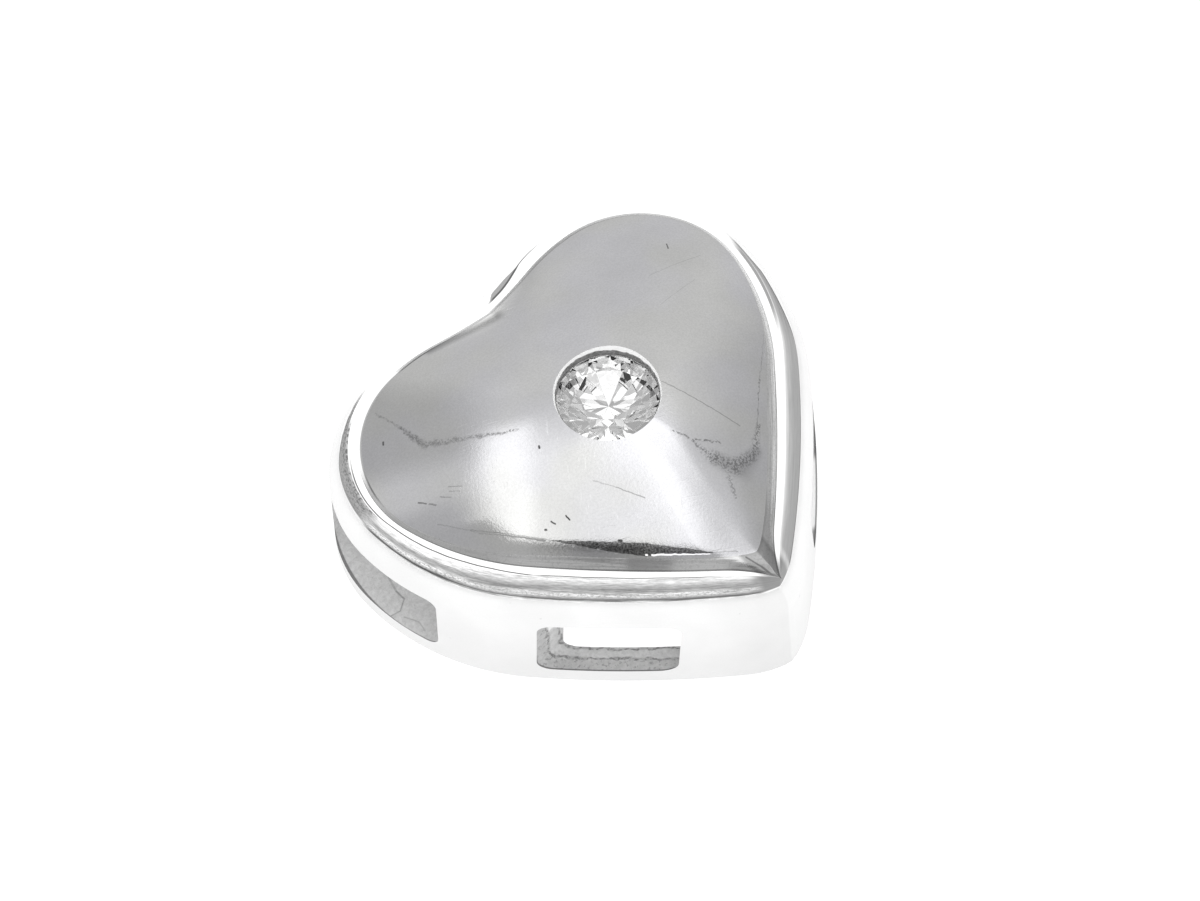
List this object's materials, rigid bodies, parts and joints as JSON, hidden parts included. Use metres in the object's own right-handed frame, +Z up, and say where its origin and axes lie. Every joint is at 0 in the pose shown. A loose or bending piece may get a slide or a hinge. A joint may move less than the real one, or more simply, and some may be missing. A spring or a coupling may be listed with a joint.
{
  "type": "heart slide pendant",
  "caption": "Domed, open-backed heart slide pendant with a stepped rim, a flush-set round stone and strap slots through its side wall.",
  "frame": {"origin": "middle of the heart's plan at the level of the flat rim that it rests on", "axes": "+X across the heart from flank to flank, along the strap; +Y from the tip towards the lobes; +Z up out of the dome"},
  "size_m": [0.0148, 0.0138, 0.0062],
  "materials": {
    "silver": "polished cast silver with fine scratches",
    "clear_stone": "cut and polished, colourless"
  },
  "bodies": {
    "root": {"heart_body": "silver", "stone": "clear_stone"}
  },
  "joints": []
}
